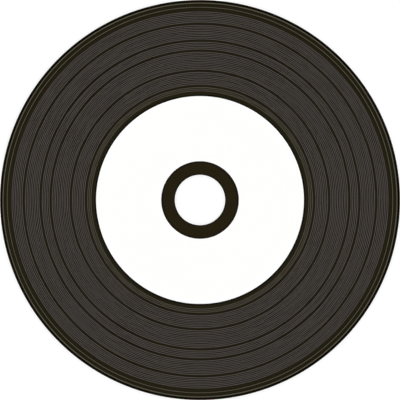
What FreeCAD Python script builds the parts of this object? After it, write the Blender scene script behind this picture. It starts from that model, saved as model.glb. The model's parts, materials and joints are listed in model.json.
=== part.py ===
import FreeCAD, Part
import os

import Sketcher

# Compact disc of 120 mm whose black face is grooved like a gramophone record.
#
# The disc lies with its label side up. Z is its axis, and zero is the plane that
# the foot of its stacking ring stands on. It has three sub-parts:
#   polycarbonate_disc   the injection moulding: centre hole, clamping zone, stacking
#                        ring on the read side, chamfered hole and rim
#   white_label          the blank printable coat round the hub
#   black_groove_print   the raised black print: a smooth band at the label, ridged
#                        tracks with smooth gaps between them, and two beads at the rim
# Each is a half section turned about Z.

# Driving sizes in millimetres.
SIZES = {
    # the moulding
    "disc_diameter": 120.0,
    "hole_diameter": 15.1,
    "moulding_thickness": 1.2,
    "hole_chamfer": 0.15,
    "rim_chamfer": 0.15,
    "stack_ring_diameter": 35.0,  # at the middle of the ring
    "stack_ring_width": 1.3,  # where it leaves the read side
    "stack_ring_flank": 0.25,  # how far each flank leans in
    "stack_ring_height": 0.2,
    # the two printed coats
    "label_hole_diameter": 23.3,
    "label_diameter": 62.3,
    "coat_thickness": 0.06,
    "coat_gap": 0.45,  # bare moulding between the two coats
    "print_margin": 0.7,  # bare moulding between the print and the rim
    # the relief of the black print, from the label outwards
    "relief_height": 0.04,
    "ridge_pitch": 2.0,  # each ridge stands for four of the print's, 0.5 mm apart
    "label_band_width": 0.86,
    "runout_width": 1.51,
    "track_1_width": 4.03,
    "track_2_width": 5.54,
    "track_3_width": 2.52,
    "track_4_width": 4.53,
    "gap_width": 0.5,
    "rim_band_width": 1.05,
    "inner_bead_width": 0.26,
    "outer_bead_width": 0.27,
    "bead_spacing": 1.26,  # from crest to crest
    "edge_band_width": 0.1,
}

# Widths of the ridged zones, from the label outwards. One more zone fills the rest.
ZONE_WIDTHS = ("runout_width", "track_1_width", "track_2_width", "track_3_width", "track_4_width")

# Radii as expressions of the driving sizes.
HOLE_RADIUS = "Sizes.hole_diameter / 2"
DISC_RADIUS = "Sizes.disc_diameter / 2"
STACK_RING_RADIUS = "Sizes.stack_ring_diameter / 2"
LABEL_HOLE_RADIUS = "Sizes.label_hole_diameter / 2"
LABEL_RADIUS = "Sizes.label_diameter / 2"
PRINT_START = f"{LABEL_RADIUS} + Sizes.coat_gap"
PRINT_RADIUS = f"{DISC_RADIUS} - Sizes.print_margin"

# Levels within a body. The moulding's seat is its read side, and a coat's seat is the
# moulding's label side.
SEAT = "0"
COAT_TOP = "Sizes.coat_thickness"
CREST = "Sizes.coat_thickness + Sizes.relief_height"

# Levels of the two seats above the plane that the disc stands on.
READ_SIDE = "Sizes.stack_ring_height"
LABEL_SIDE = "Sizes.stack_ring_height + Sizes.moulding_thickness"

doc = FreeCAD.newDocument("CompactDisc")


def add_size_sheet():
    """The spreadsheet of driving sizes, with a name and a plain number on each row."""
    sheet = doc.addObject("Spreadsheet::Sheet", "Sizes")
    for row, (alias, size) in enumerate(SIZES.items(), start=1):
        sheet.set(f"A{row}", alias)
        sheet.set(f"B{row}", str(size))
        sheet.setAlias(f"B{row}", alias)
    doc.recompute()
    return sheet


sheet = add_size_sheet()


def value(expression):
    """What an expression of the driving sizes comes to."""
    return float(sheet.evalExpression(expression))


def new_body(name, seat_level):
    """A body whose own zero is its seat, at seat_level above the rest plane."""
    body = doc.addObject("PartDesign::Body", name)
    body.Label = name
    body.setExpression("Placement.Base.z", seat_level)
    return body


def draw_section(body, name, corners):
    """A closed half section, with each corner's radius and level tied to the sizes."""
    sketch = body.newObject("Sketcher::SketchObject", name)
    plane = next(item for item in body.Origin.OriginFeatures if item.Role == "XZ_Plane")
    sketch.AttachmentSupport = [(plane, "")]
    sketch.MapMode = "FlatFace"
    points = [FreeCAD.Vector(value(radius), value(level), 0) for radius, level in corners]
    following = points[1:] + points[:1]
    sketch.addGeometry([Part.LineSegment(start, end) for start, end in zip(points, following)])
    for i, (point, (radius, level)) in enumerate(zip(points, corners)):
        line_before = (i - 1) % len(points)
        sketch.addConstraint(Sketcher.Constraint("Coincident", line_before, 2, i, 1))
        at_radius = sketch.addConstraint(Sketcher.Constraint("DistanceX", -1, 1, i, 1, point.x))
        sketch.renameConstraint(at_radius, f"radius_{i}")
        sketch.setExpression(f"Constraints.radius_{i}", radius)
        at_level = sketch.addConstraint(Sketcher.Constraint("DistanceY", -1, 1, i, 1, point.y))
        sketch.renameConstraint(at_level, f"level_{i}")
        sketch.setExpression(f"Constraints.level_{i}", level)
    return sketch


def revolve(body, name, corners):
    """Turns a half section a full turn about Z."""
    sketch = draw_section(body, f"{name}_section", corners)
    feature = body.newObject("PartDesign::Revolution", name)
    feature.Profile = sketch
    feature.ReferenceAxis = (sketch, ["V_Axis"])
    feature.Angle = 360
    doc.recompute()


def chamfer_circles(body, name, radius, size):
    """Chamfers the body's circular edges of that radius."""
    base = body.Tip
    circles = [
        f"Edge{number}"
        for number, edge in enumerate(base.Shape.Edges, start=1)
        if isinstance(edge.Curve, Part.Circle) and abs(edge.Curve.Radius - value(radius)) < 1e-6
    ]
    feature = body.newObject("PartDesign::Chamfer", name)
    feature.Base = (base, circles)
    feature.setExpression("Size", size)
    doc.recompute()


def make_polycarbonate_disc():
    """The moulding: a flat ring with a stacking ring under it and chamfered edges."""
    body = new_body("polycarbonate_disc", READ_SIDE)
    top = "Sizes.moulding_thickness"
    blank = [(HOLE_RADIUS, SEAT), (DISC_RADIUS, SEAT), (DISC_RADIUS, top), (HOLE_RADIUS, top)]
    revolve(body, "blank", blank)
    foot = "-Sizes.stack_ring_height"
    inner_radius = f"{STACK_RING_RADIUS} - Sizes.stack_ring_width / 2"
    outer_radius = f"{STACK_RING_RADIUS} + Sizes.stack_ring_width / 2"
    stack_ring = [
        (inner_radius, SEAT),
        (f"{inner_radius} + Sizes.stack_ring_flank", foot),
        (f"{outer_radius} - Sizes.stack_ring_flank", foot),
        (outer_radius, SEAT),
    ]
    revolve(body, "stack_ring", stack_ring)
    chamfer_circles(body, "hole_chamfers", HOLE_RADIUS, "Sizes.hole_chamfer")
    chamfer_circles(body, "rim_chamfers", DISC_RADIUS, "Sizes.rim_chamfer")
    return body


def make_white_label():
    """The white coat: a flat ring that ends just short of the black print."""
    body = new_body("white_label", LABEL_SIDE)
    coat = [
        (LABEL_HOLE_RADIUS, SEAT),
        (LABEL_RADIUS, SEAT),
        (LABEL_RADIUS, COAT_TOP),
        (LABEL_HOLE_RADIUS, COAT_TOP),
    ]
    revolve(body, "coat", coat)
    return body


def ridged_zones(first_radius, last_radius):
    """Inner and outer radius of each ridged zone, a gap apart, as many as there is room for."""
    zones = []
    start = first_radius
    for width in ZONE_WIDTHS:
        end = f"{start} + Sizes.{width}"
        next_start = f"{end} + Sizes.gap_width"
        if value(next_start) + value("Sizes.ridge_pitch") > value(last_radius):
            break
        zones.append((start, end))
        start = next_start
    zones.append((start, last_radius))
    return zones


def ridges(start, end):
    """Corners of the ridges that fill a zone: valley, crest, valley and so on."""
    count = max(1, round((value(end) - value(start)) / value("Sizes.ridge_pitch")))
    flank = f"(({end}) - ({start})) / {2 * count}"
    return [(f"{start} + {flank} * {i}", CREST if i % 2 else COAT_TOP) for i in range(2 * count + 1)]


def bead(middle, width):
    """Corners of a bead: foot, crest, foot."""
    return [
        (f"{middle} - {width} / 2", COAT_TOP),
        (middle, CREST),
        (f"{middle} + {width} / 2", COAT_TOP),
    ]


def make_black_groove_print():
    """The black print: flat where it lies on the moulding, and in relief above."""
    body = new_body("black_groove_print", LABEL_SIDE)
    outer_bead = f"{PRINT_RADIUS} - Sizes.edge_band_width - Sizes.outer_bead_width / 2"
    inner_bead = f"{outer_bead} - Sizes.bead_spacing"
    field_start = f"{PRINT_START} + Sizes.label_band_width"
    field_end = f"{inner_bead} - Sizes.inner_bead_width / 2 - Sizes.rim_band_width"
    relief = [(PRINT_START, COAT_TOP)]
    for start, end in ridged_zones(field_start, field_end):
        relief += ridges(start, end)
    relief += bead(inner_bead, "Sizes.inner_bead_width")
    relief += bead(outer_bead, "Sizes.outer_bead_width")
    relief += [(PRINT_RADIUS, COAT_TOP), (PRINT_RADIUS, SEAT), (PRINT_START, SEAT)]
    revolve(body, "relief", relief)
    return body


def check(bodies):
    """Stops on an object that failed, or on a sub-part that isn't one valid solid."""
    for item in doc.Objects:
        if "Invalid" in item.State or "Error" in item.State:
            raise RuntimeError(f"{item.Label} failed: {item.State}")
    for body in bodies:
        if body.Shape.isNull() or not body.Shape.isValid() or len(body.Shape.Solids) != 1:
            raise RuntimeError(f"{body.Label} isn't one valid solid")


def export(bodies):
    """Writes each sub-part to its own STEP file."""
    os.makedirs("parts", exist_ok=True)
    for body in bodies:
        body.Shape.exportStep(f"parts/{body.Label}.step")
        print(f"{body.Label}: {body.Shape.Volume:.2f} mm3, {len(body.Shape.Faces)} faces")


sub_parts = [make_polycarbonate_disc(), make_white_label(), make_black_groove_print()]
doc.recompute()
check(sub_parts)
export(sub_parts)
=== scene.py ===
# %% [markdown]
# A compact disc that is dressed as a gramophone record. Its solids come from a CAD
# model: a moulding of black-tinted polycarbonate, a blank white coat round the hub and
# a black print in relief. This lesson keeps them as a fixed frame, gives the print its
# fine ridges, gives the underside its mirror, and gives every surface its finish.

import json
import math

import bpy
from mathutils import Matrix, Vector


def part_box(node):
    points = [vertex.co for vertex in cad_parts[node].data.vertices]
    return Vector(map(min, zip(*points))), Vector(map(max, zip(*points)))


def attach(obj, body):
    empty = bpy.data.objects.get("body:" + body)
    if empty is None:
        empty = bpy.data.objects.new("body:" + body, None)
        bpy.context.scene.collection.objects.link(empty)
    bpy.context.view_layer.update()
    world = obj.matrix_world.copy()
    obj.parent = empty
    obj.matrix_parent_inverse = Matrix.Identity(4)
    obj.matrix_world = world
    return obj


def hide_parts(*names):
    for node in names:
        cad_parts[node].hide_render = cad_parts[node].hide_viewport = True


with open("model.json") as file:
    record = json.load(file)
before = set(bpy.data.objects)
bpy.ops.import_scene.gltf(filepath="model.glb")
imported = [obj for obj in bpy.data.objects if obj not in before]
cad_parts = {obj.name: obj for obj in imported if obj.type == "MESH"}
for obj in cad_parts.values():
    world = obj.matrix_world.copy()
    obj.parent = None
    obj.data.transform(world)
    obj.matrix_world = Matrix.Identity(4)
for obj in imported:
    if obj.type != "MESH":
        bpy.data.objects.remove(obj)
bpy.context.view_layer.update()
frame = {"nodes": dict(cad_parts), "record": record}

# %% [markdown]
# Everything on this disc is a ring, so a few radii and levels place it all. They are
# read from the boxes of the CAD's own nodes and from its record, which keeps the scene
# in step with the CAD. Blender works in metres, and small sizes are easier to read in
# millimetres, so one value turns the one into the other.

# %% Radii and levels from the frame
MM = 0.001

label_low, label_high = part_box("white_label")
print_low, print_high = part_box("black_groove_print")
disc_low, disc_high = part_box("polycarbonate_disc")

DISC_RADIUS = disc_high[0]
LABEL_RADIUS = label_high[0]
PRINT_RADIUS = print_high[0]
FOOT = disc_low[2]
LABEL_SIDE = disc_high[2]
COAT_TOP = label_high[2]
CREST = print_high[2]
mounts = {mount["name"]: mount for mount in frame["record"]["mounts"]}
READ_SIDE = mounts["turntable_face"]["pos_m"][2]
HOLE_RADIUS = mounts["spindle_hole"]["dims"]["r_mm"] * MM
print(f"hole {HOLE_RADIUS / MM:.2f} mm, label {LABEL_RADIUS / MM:.2f} mm")
print(f"print {PRINT_RADIUS / MM:.2f} mm, disc {DISC_RADIUS / MM:.2f} mm")
print(f"read side {READ_SIDE / MM:.2f} mm, label side {LABEL_SIDE / MM:.2f} mm")
print(f"coat top {COAT_TOP / MM:.2f} mm, crests {CREST / MM:.2f} mm")

# %% [markdown]
# A finish is written as a colour picker gives it, in hex. Blender's shaders count
# light, which is linear, so one function turns a hex value to linear.
#
# A material and a Geometry Nodes tool are both trees of nodes. Placing a node takes
# three lines each time, so one small function does it: it adds the node, sets it up,
# and fills or links its inputs.

# %% Helpers for colours and nodes
def linear(hex_colour):
    """A colour such as "#3a3632" as linear red, green, blue and alpha."""
    channels = [int(hex_colour[i : i + 2], 16) / 255 for i in (1, 3, 5)]
    return [c / 12.92 if c <= 0.04045 else ((c + 0.055) / 1.055) ** 2.4 for c in channels] + [1.0]


def add(tree, kind, inputs=None, **settings):
    """Adds a node. Each input is given a value, or is linked if it is given a socket."""
    node = tree.nodes.new(kind)
    for name, setting in settings.items():
        setattr(node, name, setting)
    for name, given in (inputs or {}).items():
        if isinstance(given, bpy.types.NodeSocket):
            tree.links.new(given, node.inputs[name])
        else:
            node.inputs[name].default_value = given
    return node


print("a photographed groove, #3a3632, is linear", [round(c, 4) for c in linear("#3a3632")[:3]])

# %% [markdown]
# Every finish here needs the same start: an empty material, its output, and the place
# on the piece. The pieces all sit at the origin, so Object coordinates are the disc's
# own, and a pattern stays put when the disc is seen from another side. On a disc a
# pattern also wants to know how far out it is, and which way out that is.

# %% Helpers for materials
def new_material(name):
    """An empty material, its tree, and the place on the piece as a socket."""
    material = bpy.data.materials.new(name)
    material.use_nodes = True
    tree = material.node_tree
    tree.nodes.clear()
    place = add(tree, "ShaderNodeTexCoord").outputs["Object"]
    return material, tree, place


def from_the_axis(tree, place):
    """Two sockets: the direction outwards from the disc's axis, and the radius."""
    flat = add(tree, "ShaderNodeVectorMath", {0: place, 1: (1, 1, 0)}, operation="MULTIPLY")
    outwards = add(tree, "ShaderNodeVectorMath", {0: flat.outputs[0]}, operation="NORMALIZE")
    radius = add(tree, "ShaderNodeVectorMath", {0: flat.outputs[0]}, operation="LENGTH")
    return outwards.outputs["Vector"], radius.outputs["Value"]


print("a pattern of 1 mm has scale", 1 / MM)

# %% [markdown]
# The camera looks straight down, as in the photograph, where the disc is a true circle
# with no perspective. A perspective camera from very far away would do, but an
# orthographic one is exact: its scale is the width of the picture in metres. The disc
# fills the picture from edge to edge.

# %% Camera
PICTURE_PIXELS = 400
DISC_PIXELS = 400.2
CAMERA_HEIGHT = 0.5

camera_data = bpy.data.cameras.new("top_view")
camera_data.type = "ORTHO"
camera_data.ortho_scale = 2 * DISC_RADIUS * PICTURE_PIXELS / DISC_PIXELS
camera = bpy.data.objects.new("top_view", camera_data)
camera.location = (0, 0, CAMERA_HEIGHT)
bpy.context.scene.collection.objects.link(camera)
bpy.context.scene.camera = camera
print(f"picture width {camera_data.ortho_scale / MM:.2f} mm")

# %% [markdown]
# On the real print the ridges are raised ink. They could be painted as a bump pattern,
# which is cheap but looks flat in a close view. They could be modelled one by one.
# A record's ridges all follow one rule, so Geometry Nodes suit them best: the piece
# starts as a row of points, one where each ridge crosses the X axis. Each point
# carries a circle as large as the point is far out, and a small section is swept round
# every circle. The tree has named inputs, so it makes the ridges and the beads.

# %% A tree that makes concentric ridges: its inputs
ridge_tree = bpy.data.node_groups.new("concentric_ridges", "GeometryNodeTree")
ridge_tree.is_modifier = True
for name, kind in (
    ("Geometry", "NodeSocketGeometry"),
    ("Foot Width", "NodeSocketFloat"),
    ("Crest Width", "NodeSocketFloat"),
    ("Height", "NodeSocketFloat"),
    ("Segments", "NodeSocketInt"),
    ("Material", "NodeSocketMaterial"),
):
    ridge_tree.interface.new_socket(name, in_out="INPUT", socket_type=kind)
ridge_tree.interface.new_socket("Geometry", in_out="OUTPUT", socket_type="NodeSocketGeometry")
given = add(ridge_tree, "NodeGroupInput").outputs
print("inputs:", [socket.name for socket in given if socket.name])

# %% [markdown]
# A point's X is its circle's radius, and the circle is set back to the axis after it
# has grown. The order matters: the circle is scaled where the point is, because the
# point's place says how large it has to be.

# %% The circles that the ridges follow
circle = add(
    ridge_tree,
    "GeometryNodeCurvePrimitiveCircle",
    {"Resolution": given["Segments"], "Radius": 1.0},
)
where = add(ridge_tree, "GeometryNodeInputPosition")
parts = add(ridge_tree, "ShaderNodeSeparateXYZ", {"Vector": where.outputs[0]}).outputs
scale = add(ridge_tree, "ShaderNodeCombineXYZ", {"X": parts["X"], "Y": parts["X"], "Z": 1.0})
circles = add(
    ridge_tree,
    "GeometryNodeInstanceOnPoints",
    {"Points": given["Geometry"], "Instance": circle.outputs[0], "Scale": scale.outputs[0]},
)
on_axis = add(ridge_tree, "ShaderNodeCombineXYZ", {"Z": parts["Z"]})
centred = add(
    ridge_tree,
    "GeometryNodeSetPosition",
    {"Geometry": circles.outputs[0], "Position": on_axis.outputs[0]},
)
paths = add(ridge_tree, "GeometryNodeRealizeInstances", {"Geometry": centred.outputs[0]})
print("the circles take", len(ridge_tree.nodes), "nodes")

# %% [markdown]
# The section is a trapezoid, a low gable with a narrow crest. Its sides have to lean by
# the right amount, because they are the mirrors that make the ridges visible. A
# section's Y points down on these circles, so the trapezoid's bottom side is the
# crest. Only the edges along a ridge are sharp: round the disc it is smooth.

# %% The ridge's section, its sweep and its material
SHARP_ABOVE = math.radians(8)

section = add(
    ridge_tree,
    "GeometryNodeCurvePrimitiveQuadrilateral",
    {
        "Height": given["Height"],
        "Bottom Width": given["Crest Width"],
        "Top Width": given["Foot Width"],
        "Offset": 0.0,
    },
    mode="TRAPEZOID",
)
swept = add(
    ridge_tree,
    "GeometryNodeCurveToMesh",
    {"Curve": paths.outputs[0], "Profile Curve": section.outputs[0]},
)
smooth = add(
    ridge_tree,
    "GeometryNodeSetShadeSmooth",
    {"Geometry": swept.outputs[0], "Shade Smooth": True},
)
fold = add(ridge_tree, "GeometryNodeInputMeshEdgeAngle").outputs["Unsigned Angle"]
folded = add(
    ridge_tree, "FunctionNodeCompare", {0: fold, 1: SHARP_ABOVE}, operation="GREATER_THAN"
)
creased = add(
    ridge_tree,
    "GeometryNodeSetShadeSmooth",
    {"Geometry": smooth.outputs[0], "Selection": folded.outputs[0], "Shade Smooth": False},
    domain="EDGE",
)
real = add(ridge_tree, "GeometryNodeRealizeInstances", {"Geometry": creased.outputs[0]})
inked = add(
    ridge_tree,
    "GeometryNodeSetMaterial",
    {"Geometry": real.outputs[0], "Material": given["Material"]},
)
add(ridge_tree, "NodeGroupOutput", {"Geometry": inked.outputs[0]})
print(f"{ridge_tree.name}: {len(ridge_tree.nodes)} nodes")

# %% [markdown]
# The tree runs as a modifier, which finds each input by its identifier and not by its
# name, so a helper looks that up. The result is then copied to a plain mesh and the
# modifier goes: the frame holds finished pieces only.

# %% Run the tree on a row of points
SEGMENTS = 360


def new_piece(name, mesh):
    """A new object for that mesh, at the origin."""
    piece = bpy.data.objects.new(name, mesh)
    bpy.context.scene.collection.objects.link(piece)
    return piece


def make_ridges(name, radii, foot_level, sizes):
    """A piece with a ridge at each radius. sizes holds the tree's inputs by name."""
    middle = foot_level + sizes["Height"] / 2
    points = bpy.data.meshes.new(name)
    points.from_pydata([(radius, 0, middle) for radius in radii], [], [])
    piece = new_piece(name, points)
    modifier = piece.modifiers.new("ridges", "NODES")
    modifier.node_group = ridge_tree
    for item in ridge_tree.interface.items_tree:
        if item.in_out == "INPUT" and item.name in sizes:
            modifier[item.identifier] = sizes[item.name]
    evaluated = piece.evaluated_get(bpy.context.evaluated_depsgraph_get())
    mesh = bpy.data.meshes.new_from_object(evaluated)
    piece.modifiers.clear()
    piece.data = mesh
    top = max(vertex.co.z for vertex in mesh.vertices)
    reach = max(vertex.co.x for vertex in mesh.vertices)
    triangles = sum(len(face.vertices) - 2 for face in mesh.polygons)
    print(f"{name}: {len(radii)} ridges, {triangles} triangles")
    print(f"  top {top / MM:.3f} mm, reach {reach / MM:.3f} mm")
    return piece


print("segments in each circle:", SEGMENTS)

# %% [markdown]
# Ink is pushed along the grooves, and plastic flows round its mould, so both leave
# streaks that are long along the grooves and narrow across them. A plain noise would
# make round blotches. So a pattern's place is turned into arc and radius first, which
# draws each blotch out along its groove.

# %% A pattern drawn out along the grooves
def along_the_grooves(tree, place, arc, across):
    """The place as arc and radius, for a pattern as long as arc and as wide as across."""
    outwards, radius = from_the_axis(tree, place)
    turned = add(
        tree, "ShaderNodeVectorMath", {0: outwards, "Scale": DISC_RADIUS / arc}, operation="SCALE"
    )
    step = add(tree, "ShaderNodeMath", {0: radius, 1: 1 / across}, operation="MULTIPLY")
    rise = add(tree, "ShaderNodeCombineXYZ", {"Z": step.outputs[0]})
    moved = add(
        tree, "ShaderNodeVectorMath", {0: turned.outputs[0], 1: rise.outputs[0]}, operation="ADD"
    )
    return moved.outputs[0]


print(f"a pattern's arc is measured {DISC_RADIUS / MM:.0f} mm from the axis")

# %% [markdown]
# Black screen-printing ink, cured under lamps. It dries to a smooth film with a clear
# gloss, so flat ink mirrors the dark above the disc and looks black, while the ridges
# catch the light along their sides. That comes from the shape and the gloss, and in part
# from paint: the ridges' lighter inks hold a painted highlight, and the tracks' darker
# floor a painted shade. Where the ink flowed, in streaks about 12 mm long and 0.6 mm
# wide, its tone and its gloss waver a little.

# %% Material: screen-printed black ink
INK_FLOW_LENGTH = 12 * MM
INK_FLOW_WIDTH = 0.6 * MM
INK_WAVER = 0.03
MESH_MARKS = 0.4 * MM
MESH_DEPTH = 0.0005 * MM
INK_IOR = 1.5


def screen_printed_ink(name, colours, roughness, mirror):
    """Ink whose gloss wavers along the grooves. mirror is 0.5 for a plain clear film."""
    material, tree, place = new_material(name)
    flow_place = along_the_grooves(tree, place, INK_FLOW_LENGTH, INK_FLOW_WIDTH)
    flow = add(tree, "ShaderNodeTexNoise", {"Vector": flow_place, "Scale": 1.0, "Detail": 2.0})
    first, second = colours
    colour = add(
        tree,
        "ShaderNodeMix",
        {0: flow.outputs[0], 6: linear(first), 7: linear(second)},
        data_type="RGBA",
    )
    lowest, highest = roughness - INK_WAVER, roughness + INK_WAVER
    gloss = add(
        tree,
        "ShaderNodeMapRange",
        {"Value": flow.outputs[0], "To Min": lowest, "To Max": highest},
    )
    # A screen's mesh leaves marks 0.1 mm apart, drawn here at 0.4 mm so that they show.
    mesh_marks = add(
        tree, "ShaderNodeTexNoise", {"Vector": place, "Scale": 1 / MESH_MARKS, "Detail": 2.0}
    )
    relief = add(
        tree,
        "ShaderNodeBump",
        {"Height": mesh_marks.outputs[0], "Strength": 1.0, "Distance": MESH_DEPTH},
    )
    ink = add(
        tree,
        "ShaderNodeBsdfPrincipled",
        {
            "Base Color": colour.outputs[2],
            "Roughness": gloss.outputs[0],
            "IOR": INK_IOR,
            "Specular IOR Level": mirror,
            "Normal": relief.outputs[0],
        },
    )
    add(tree, "ShaderNodeOutputMaterial", {"Surface": ink.outputs[0]})
    print("made", name)
    return material


# %% [markdown]
# The ink isn't the same black all over, and one function makes every kind of it. The
# flat bands and the gaps between the tracks are a warm, glossy black, and a track's
# floor is a little darker, which is painted shade between its ridges. The ridges raised
# on it are a dark grey: their ink has more filler, so it mirrors less, and their grey is
# partly that ink's own tone and partly a painted highlight for the light their sides
# catch. So a ridge differs from its floor in tone as well as in slope. That keeps it
# visible where it is finer than a pixel. The run-out's ridges are browner, with the same
# painted highlight. The beads at the rim are a thick lay of ink, which dries duller and
# shows more of its own brown; that lighter brown is partly a painted highlight.

# %% The blacks of the print
flat_ink = screen_printed_ink("screen_printed_gloss_black", ("#1e1b10", "#221e12"), 0.11, 0.5)
# A track's floor is a little darker: painted shade between its ridges.
track_ink_with_painted_shade = screen_printed_ink("screen_printed_track_black_with_painted_shade", ("#1b1710", "#1e1a12"), 0.25, 0.33)
# The ridges' dark grey is partly the filled ink's own tone and partly a painted highlight for the
# light their sides catch.
ridge_ink_with_painted_highlight = screen_printed_ink("screen_printed_raised_black_with_painted_highlight", ("#39322e", "#3d3632"), 0.16, 0.33)
# The run-out's brown ridges carry the same painted highlight.
runout_ink_with_painted_highlight = screen_printed_ink("screen_printed_raised_brown_with_painted_highlight", ("#352e17", "#39321b"), 0.16, 0.33)
# The beads' lighter brown is partly their thick ink's own and partly a painted highlight.
bead_ink_with_painted_highlight = screen_printed_ink("screen_printed_thick_black_with_painted_highlight", ("#2e280e", "#312b11"), 0.5, 0.5)

# %% [markdown]
# The bands of ridges, from the label outwards, as the photograph shows them: three
# ridges in the run-out, then five tracks with a smooth gap between each two. Measured,
# they all fall on one even pitch, and a gap is just a ridge left out. So the counts
# say it all: how many ridges each band has.

# %% Where the ridges go
COAT_GAP = 0.45 * MM
LABEL_BAND = 0.86 * MM
RIDGE_PITCH = 0.5034 * MM
RIDGES_IN_BANDS = [3, 8, 11, 5, 9, 7]

coat_start = LABEL_RADIUS + COAT_GAP
start = coat_start + LABEL_BAND
bands = []
ridge_radii = []
for count in RIDGES_IN_BANDS:
    end = start + count * RIDGE_PITCH
    bands.append((start, end))
    ridge_radii += [start + (i + 0.5) * RIDGE_PITCH for i in range(count)]
    print(f"band from {start / MM:.2f} to {end / MM:.2f} mm: {count} ridges")
    start = end + RIDGE_PITCH

# %% [markdown]
# The ridges stand on a flood coat, a flat ring of ink. A ring is a plain section turned
# about the axis. A Screw modifier could turn it. Turning it in code is as short, closes
# the ring on itself, and lets each side of the section take its own finish, so a helper
# does just that. It makes the moulding later on too.

# %% A helper that turns a half section
SHARP_FOLD = math.radians(30)


def turn(name, section, finishes):
    """A closed ring, turned about Z from the corners of its half section.

    A corner gives a radius, a level, and the number of the finish on the side after it.
    """
    points = []
    faces = []
    count = len(section)
    for i in range(SEGMENTS):
        angle = 2 * math.pi * i / SEGMENTS
        points += [(r * math.cos(angle), r * math.sin(angle), z) for r, z, finish in section]
        here = i * count
        there = (i + 1) % SEGMENTS * count
        for j in range(count):
            k = (j + 1) % count
            faces.append((here + j, there + j, there + k, here + k))
    mesh = bpy.data.meshes.new(name)
    mesh.from_pydata(points, [], faces)
    for finish in finishes:
        mesh.materials.append(finish)
    for number, face in enumerate(mesh.polygons):
        face.use_smooth = True
        face.material_index = section[number % count][2]
    mesh.set_sharp_from_angle(angle=SHARP_FOLD)
    print(f"{name}: {2 * len(mesh.polygons)} triangles")
    return new_piece(name, mesh)


# %% [markdown]
# The flood coat stops half a millimetre short of the white coat. Two screens never
# line up perfectly, so a printer leaves that much, and the black plastic shows
# through it as a fine dark line round the label.

# %% The black flood coat
FLAT, TRACK = 0, 1

coat_section = [
    (coat_start, LABEL_SIDE, FLAT),
    (PRINT_RADIUS, LABEL_SIDE, FLAT),
    (PRINT_RADIUS, COAT_TOP, FLAT),
]
for start, end in reversed(bands):
    coat_section += [(end, COAT_TOP, TRACK), (start, COAT_TOP, FLAT)]
coat_section.append((coat_start, COAT_TOP, FLAT))
flood_coat = turn("black_flood_coat", coat_section, [flat_ink, track_ink_with_painted_shade])

# %% [markdown]
# From above, a ridge shows what its sides mirror. They lean by 19 degrees, so they
# mirror what lies 38 degrees from straight overhead, and the studio's light is brightest
# there. Each foot is sunk into the coat, which leaves 0.02 mm standing proud.

# %% The ridges
SINK = 0.01 * MM
RIDGE_FOOT = 0.185 * MM
RIDGE_CREST = 0.01 * MM
RIDGE_HEIGHT = 0.02 * MM

ridge_sizes = {
    "Foot Width": RIDGE_FOOT,
    "Crest Width": RIDGE_CREST,
    "Height": RIDGE_HEIGHT + SINK,
    "Segments": SEGMENTS,
    "Material": ridge_ink_with_painted_highlight,
}
runout_count = RIDGES_IN_BANDS[0]
runout_sizes = dict(ridge_sizes, Material=runout_ink_with_painted_highlight)
runout = make_ridges("runout_ridges", ridge_radii[:runout_count], COAT_TOP - SINK, runout_sizes)
ridges = make_ridges("groove_ridges", ridge_radii[runout_count:], COAT_TOP - SINK, ridge_sizes)
lean = math.atan(2 * (RIDGE_HEIGHT + SINK) / (RIDGE_FOOT - RIDGE_CREST))
print(f"their sides lean by {math.degrees(lean):.1f} degrees")

# %% [markdown]
# Two beads run round the rim, where a record has its lead-in. The outer one stands as
# high as the CAD's relief, and the inner one is a little lower and dimmer. A bead is as
# wide as its given width where it leaves the coat, so its foot, a little deeper, is
# wider in proportion.

# %% The two beads at the rim
EDGE_BAND = 0.1 * MM
BEAD_SPACING = 1.26 * MM
INNER_BEAD_WIDTH = 0.16 * MM
INNER_BEAD_HEIGHT = 0.026 * MM
OUTER_BEAD_WIDTH = 0.27 * MM
outer_radius = PRINT_RADIUS - EDGE_BAND - OUTER_BEAD_WIDTH / 2

beads = []
for name, bead_radius, width, bead_height in (
    ("inner_rim_bead", outer_radius - BEAD_SPACING, INNER_BEAD_WIDTH, INNER_BEAD_HEIGHT),
    ("outer_rim_bead", outer_radius, OUTER_BEAD_WIDTH, CREST - COAT_TOP),
):
    bead_sizes = dict(ridge_sizes, Height=bead_height + SINK, Material=bead_ink_with_painted_highlight)
    bead_sizes["Foot Width"] = width * (bead_height + SINK) / bead_height
    beads.append(make_ridges(name, [bead_radius], COAT_TOP - SINK, bead_sizes))

# %% [markdown]
# These five pieces are the black print in its final look. Each rides on the disc's only
# body and stands in for the CAD's print, whose ridges are wider and fewer.

# %% The print's pieces join the frame
for piece in [flood_coat, runout, ridges] + beads:
    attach(piece, "root")
    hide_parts("black_groove_print")
    print(piece.name, "replaces black_groove_print")

# %% [markdown]
# The moulding is polycarbonate, tinted black in the melt and injected against polished
# steel, so it has a deep, clear gloss. It shows as the ring round the hole, as a thin
# line at the rim, and as the underside. Bare on both sides, the ring would let some light
# through and look brown, and so would the rim, a little; that light is painted into the
# colour as brown. The painted brown stops short of the hole and of the coat, which
# leaves a black line along each edge. A colour ramp over the radius paints that, and a
# faint noise gives the melt's flow.

# %% Material: injection-moulded black polycarbonate
DEEP_BLACK = "#060503"
# The two browns are painted light, coming through the bare plastic from below.
PAINTED_BACKLIGHT_BROWN = "#251f12"
PAINTED_BACKLIGHT_RIM = "#110e05"
TINT_AND_PAINTED_BACKLIGHT_BY_RADIUS = [
    (7.85 * MM, DEEP_BLACK),
    (7.95 * MM, PAINTED_BACKLIGHT_BROWN),
    (11.2 * MM, PAINTED_BACKLIGHT_BROWN),
    (11.3 * MM, DEEP_BLACK),
    (59.0 * MM, DEEP_BLACK),
    (59.3 * MM, PAINTED_BACKLIGHT_RIM),
]
# The melt's streaks are about 20 mm long and 0.8 mm wide.
MELT_FLOW_LENGTH = 20 * MM
MELT_FLOW_WIDTH = 0.8 * MM
POLYCARBONATE_IOR = 1.585


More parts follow.
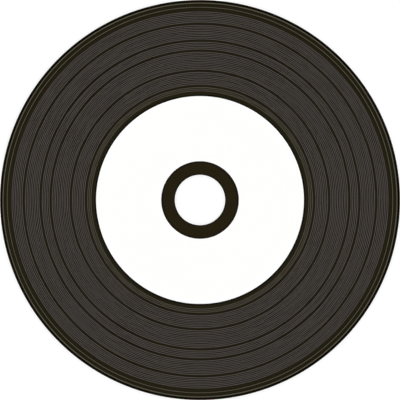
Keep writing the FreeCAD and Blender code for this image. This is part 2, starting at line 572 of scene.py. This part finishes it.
def injection_moulded_polycarbonate():
    """Clear black gloss. Its colour follows the radius, with light through the ring and rim
    painted as brown, and wavers as the melt flowed.
    """
    material, tree, place = new_material("injection_moulded_black_polycarbonate")
    outwards, radius = from_the_axis(tree, place)
    share = add(tree, "ShaderNodeMath", {0: radius, 1: 1 / DISC_RADIUS}, operation="MULTIPLY")
    # This ramp paints the light through the ring and the rim as brown, and leaves black lines
    # beside the hole and the coat.
    tint = add(tree, "ShaderNodeValToRGB", {"Fac": share.outputs[0]})
    stops = tint.color_ramp.elements
    while len(stops) < len(TINT_AND_PAINTED_BACKLIGHT_BY_RADIUS):
        stops.new(1.0)
    for stop, (stop_radius, colour) in zip(stops, TINT_AND_PAINTED_BACKLIGHT_BY_RADIUS):
        stop.position = stop_radius / DISC_RADIUS
        stop.color = linear(colour)
    flow_place = along_the_grooves(tree, place, MELT_FLOW_LENGTH, MELT_FLOW_WIDTH)
    flow = add(tree, "ShaderNodeTexNoise", {"Vector": flow_place, "Scale": 1.0, "Detail": 3.0})
    shade = add(
        tree, "ShaderNodeMapRange", {"Value": flow.outputs[0], "To Min": 0.25, "To Max": 0.0}
    )
    colour = add(
        tree,
        "ShaderNodeMix",
        {0: shade.outputs[0], 6: tint.outputs["Color"], 7: linear(DEEP_BLACK)},
        data_type="RGBA",
    )
    gloss = add(
        tree, "ShaderNodeMapRange", {"Value": flow.outputs[0], "To Min": 0.03, "To Max": 0.07}
    )
    plastic = add(
        tree,
        "ShaderNodeBsdfPrincipled",
        {
            "Base Color": colour.outputs[2],
            "Roughness": gloss.outputs[0],
            "IOR": POLYCARBONATE_IOR,
        },
    )
    add(tree, "ShaderNodeOutputMaterial", {"Surface": plastic.outputs[0]})
    return material


bare_plastic = injection_moulded_polycarbonate()
print("made", bare_plastic.name)

# %% [markdown]
# On the underside a film of metal lies behind the plastic. Seen through the black tint
# it is a dark mirror. Its data spiral is far too fine to model, 0.0016 mm from turn to
# turn, but it spreads light across the turns and splits it into faint colours. An
# anisotropic gloss, with its tangent round the axis, does the first, and a thin film
# does the second. Between the hub and the data there are no turns, so it is plain.

# %% Material: sputtered metal under plastic
# The film's thickness wavers in streaks about 60 mm long and 1.5 mm wide.
FILM_STREAK_LENGTH = 60 * MM
FILM_STREAK_WIDTH = 1.5 * MM
FILM_WAVER = 0.02


def metal_under_plastic(name, colours, roughness, spread, film):
    """A dark mirror under plastic. spread is its anisotropy, and film is in nanometres."""
    material, tree, place = new_material(name)
    streaks = along_the_grooves(tree, place, FILM_STREAK_LENGTH, FILM_STREAK_WIDTH)
    waver = add(tree, "ShaderNodeTexNoise", {"Vector": streaks, "Scale": 1.0, "Detail": 2.0})
    first, second = colours
    colour = add(
        tree,
        "ShaderNodeMix",
        {0: waver.outputs[0], 6: linear(first), 7: linear(second)},
        data_type="RGBA",
    )
    lowest, highest = roughness - FILM_WAVER, roughness + FILM_WAVER
    gloss = add(
        tree,
        "ShaderNodeMapRange",
        {"Value": waver.outputs[0], "To Min": lowest, "To Max": highest},
    )
    round_the_axis = add(tree, "ShaderNodeTangent", direction_type="RADIAL", axis="Z")
    mirror = add(
        tree,
        "ShaderNodeBsdfPrincipled",
        {
            "Base Color": colour.outputs[2],
            "Metallic": 1.0,
            "Roughness": gloss.outputs[0],
            "Anisotropic": spread,
            "Tangent": round_the_axis.outputs[0],
            "Coat Weight": 1.0,
            "Coat Roughness": 0.03,
            "Coat IOR": POLYCARBONATE_IOR,
            "Thin Film Thickness": film,
            "Thin Film IOR": 1.6,
        },
    )
    add(tree, "ShaderNodeOutputMaterial", {"Surface": mirror.outputs[0]})
    print("made", name)
    return material


data_film = metal_under_plastic(
    "sputtered_data_film", ("#2b2228", "#332a2c"), roughness=0.24, spread=0.85, film=420.0
)
plain_film = metal_under_plastic(
    "sputtered_plain_film", ("#2a2526", "#2f2a2a"), roughness=0.08, spread=0.0, film=0.0
)

# %% [markdown]
# The moulding is turned like the flood coat, from the CAD's own section: the chamfered
# hole and rim, and the stacking ring that keeps two discs apart on a spindle. The read
# side is cut where the metal film starts and ends, so that each zone takes its finish.

# %% The moulding
CHAMFER = 0.15 * MM
RING_WIDTH = 1.3 * MM
RING_FLANK = 0.25 * MM
PLAIN_FILM_START = 20.5 * MM
DATA_START = 22.5 * MM
DATA_END = 58.5 * MM
BARE, PLAIN, DATA = 0, 1, 2

ring_middle = mounts["stacking_foot"]["pos_m"][0]
ring_start = ring_middle - RING_WIDTH / 2
ring_end = ring_middle + RING_WIDTH / 2
moulding_section = [
    (HOLE_RADIUS + CHAMFER, READ_SIDE, BARE),
    (ring_start, READ_SIDE, BARE),
    (ring_start + RING_FLANK, FOOT, BARE),
    (ring_end - RING_FLANK, FOOT, BARE),
    (ring_end, READ_SIDE, BARE),
    (PLAIN_FILM_START, READ_SIDE, PLAIN),
    (DATA_START, READ_SIDE, DATA),
    (DATA_END, READ_SIDE, BARE),
    (DISC_RADIUS - CHAMFER, READ_SIDE, BARE),
    (DISC_RADIUS, READ_SIDE + CHAMFER, BARE),
    (DISC_RADIUS, LABEL_SIDE - CHAMFER, BARE),
    (DISC_RADIUS - CHAMFER, LABEL_SIDE, BARE),
    (HOLE_RADIUS + CHAMFER, LABEL_SIDE, BARE),
    (HOLE_RADIUS, LABEL_SIDE - CHAMFER, BARE),
    (HOLE_RADIUS, READ_SIDE + CHAMFER, BARE),
]
moulding = turn("tinted_moulding", moulding_section, [bare_plastic, plain_film, data_film])
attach(moulding, "root")
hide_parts("polycarbonate_disc")

# %% [markdown]
# The white coat is a printable one: a lacquer filled with fine powder, which soaks up
# ink. It is screen printed too, and dries dead matte with the grain of its filler. The
# CAD's node already has the right shape, a flat ring, so it stays and only gets its
# finish.

# %% Material: matte white printable lacquer
def matte_printable_lacquer():
    """White with no gloss, and a fine grain in both tone and surface."""
    material, tree, place = new_material("matte_white_printable_lacquer")
    # The filler's grains are 0.02 mm across, drawn here at 0.25 mm so that they show.
    grain = add(
        tree, "ShaderNodeTexNoise", {"Vector": place, "Scale": 1 / (0.25 * MM), "Detail": 2.0}
    )
    colour = add(
        tree,
        "ShaderNodeMix",
        {0: grain.outputs[0], 6: linear("#e5e5e4"), 7: linear("#ebebea")},
        data_type="RGBA",
    )
    tooth = add(
        tree,
        "ShaderNodeBump",
        {"Height": grain.outputs[0], "Strength": 1.0, "Distance": 0.004 * MM},
    )
    lacquer = add(
        tree,
        "ShaderNodeBsdfPrincipled",
        {
            "Base Color": colour.outputs[2],
            "Roughness": 0.85,
            "IOR": 1.5,
            "Normal": tooth.outputs[0],
        },
    )
    add(tree, "ShaderNodeOutputMaterial", {"Surface": lacquer.outputs[0]})
    return material


label = frame["nodes"]["white_label"]
label.data.materials.clear()
label.data.materials.append(matte_printable_lacquer())
print("finish of the label:", label.data.materials[0].name)

# %% [markdown]
# The photograph has no shadow round the disc and none in its hole, as on a light
# table. So the floor is a pale sheet that glows a little by itself, which fills in
# most of the shadow. It is far larger than the disc, so that it reaches past every view.

# %% The floor: a pale light table
FLOOR_SIZE = 2.0

half = FLOOR_SIZE / 2
floor_mesh = bpy.data.meshes.new("floor")
floor_mesh.from_pydata(
    [(-half, -half, 0), (half, -half, 0), (half, half, 0), (-half, half, 0)], [], [(0, 1, 2, 3)]
)
floor = new_piece("floor", floor_mesh)
material, tree, place = new_material("pale_light_table")
sheet = add(
    tree,
    "ShaderNodeBsdfPrincipled",
    {
        "Base Color": linear("#7a7a7a"),
        "Roughness": 0.9,
        "Emission Color": linear("#ffffff"),
        "Emission Strength": 0.78,
    },
)
add(tree, "ShaderNodeOutputMaterial", {"Surface": sheet.outputs[0]})
floor_mesh.materials.append(material)
print("floor", FLOOR_SIZE, "m wide, at level", 0)

# %% [markdown]
# Gloss needs something to mirror, and a dark thing needs dark to mirror. The studio is
# a soft dome that is brightest in a ring, 28 to 46 degrees from straight overhead, and
# dark at its top. Seen from above, the flat ink mirrors the dark top and the sides of
# the ridges mirror the ring. A lamp would make a bright fan on the grooves, as on a
# real record. The photograph has none, and a ring with no start or end gives none.
# Below the horizon the dome is as pale as the table, for a look at the underside.

# %% The studio's light
LIGHT_STRENGTH = 2.7
LIGHT_BY_ANGLE = [(92, 0.37), (90, 0.0), (56, 0.05), (46, 1.0), (28, 1.0), (19, 0.0)]

world = bpy.data.worlds.new("studio_dome")
bpy.context.scene.world = world
world.use_nodes = True
sky = world.node_tree
sky.nodes.clear()
direction = add(sky, "ShaderNodeTexCoord").outputs["Generated"]
height = add(sky, "ShaderNodeSeparateXYZ", {"Vector": direction}).outputs["Z"]
share = add(sky, "ShaderNodeMapRange", {"Value": height, "From Min": -1.0, "From Max": 1.0})
ramp = add(sky, "ShaderNodeValToRGB", {"Fac": share.outputs[0]})
elements = ramp.color_ramp.elements
while len(elements) < len(LIGHT_BY_ANGLE):
    elements.new(1.0)
for element, (angle, level) in zip(elements, LIGHT_BY_ANGLE):
    element.position = (math.cos(math.radians(angle)) + 1) / 2
    element.color = (level, level, level, 1)
dome = add(
    sky, "ShaderNodeBackground", {"Color": ramp.outputs["Color"], "Strength": LIGHT_STRENGTH}
)
add(sky, "ShaderNodeOutputWorld", {"Surface": dome.outputs[0]})
for element in elements:
    print(f"light {element.color[0]:.2f} at {element.position:.3f} of the way up")

# %% [markdown]
# The picture is shown as it is counted, with the Standard view. The newer default view
# rolls bright parts off softly, and a white label would turn grey.

# %% The view transform
bpy.context.scene.view_settings.view_transform = "Standard"
